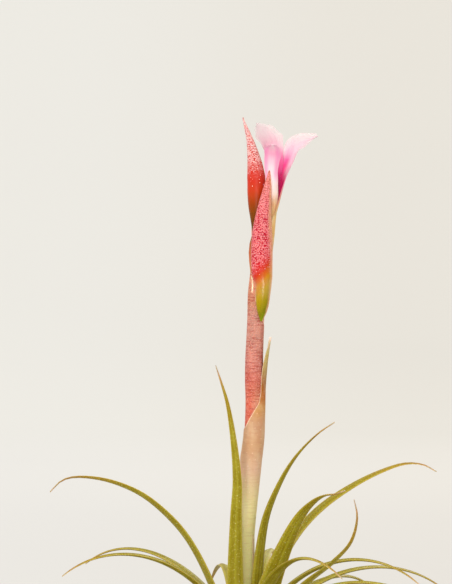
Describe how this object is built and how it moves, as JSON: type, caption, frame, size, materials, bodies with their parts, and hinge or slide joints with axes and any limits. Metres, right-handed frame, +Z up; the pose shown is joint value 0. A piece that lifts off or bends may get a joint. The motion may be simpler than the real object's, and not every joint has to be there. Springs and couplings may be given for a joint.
{
  "type": "air plant",
  "caption": "Small rosette air plant in flower: recurved silvery leaves on a short stem, a leaning bracted scape with boat-shaped bracts and a pink flower.",
  "frame": {"origin": "middle of the flat foot of the stem, where the plant rests on a surface", "axes": "+Z up along the stem; -Y towards the side that the front floral bract faces; +X towards the side that the open flower leans to"},
  "size_m": [0.0683, 0.0698, 0.091],
  "materials": {
    "withered_stem": "dry, fibrous, matt",
    "leaf": "olive green with silvery scales, orange to pink thread tips, satin",
    "scape": "salmon pink over pale green, finely scaled, satin",
    "front_bract": "rose pink with pale scales, glossy olive green at the base",
    "left_bract": "red-orange, glossy below, pale scales above",
    "back_bract": "red with pale scales, satin",
    "sepal": "cream yellow, smooth, satin",
    "petal": "thin, magenta in the throat, pale pink to near white at the margins",
    "stamen": "pale filaments with dusty yellow anthers",
    "bud": "pale pink-cream, smooth, satin"
  },
  "bodies": {
    "root": {"stem_foot": "withered_stem", "leaf_rosette": "leaf", "scape": "scape", "floral_bract_front": "front_bract", "floral_bract_left": "left_bract", "floral_bract_back": "back_bract", "sepals": "sepal", "petals": "petal", "stamens_and_style": "stamen", "flower_bud": "bud"}
  },
  "joints": []
}
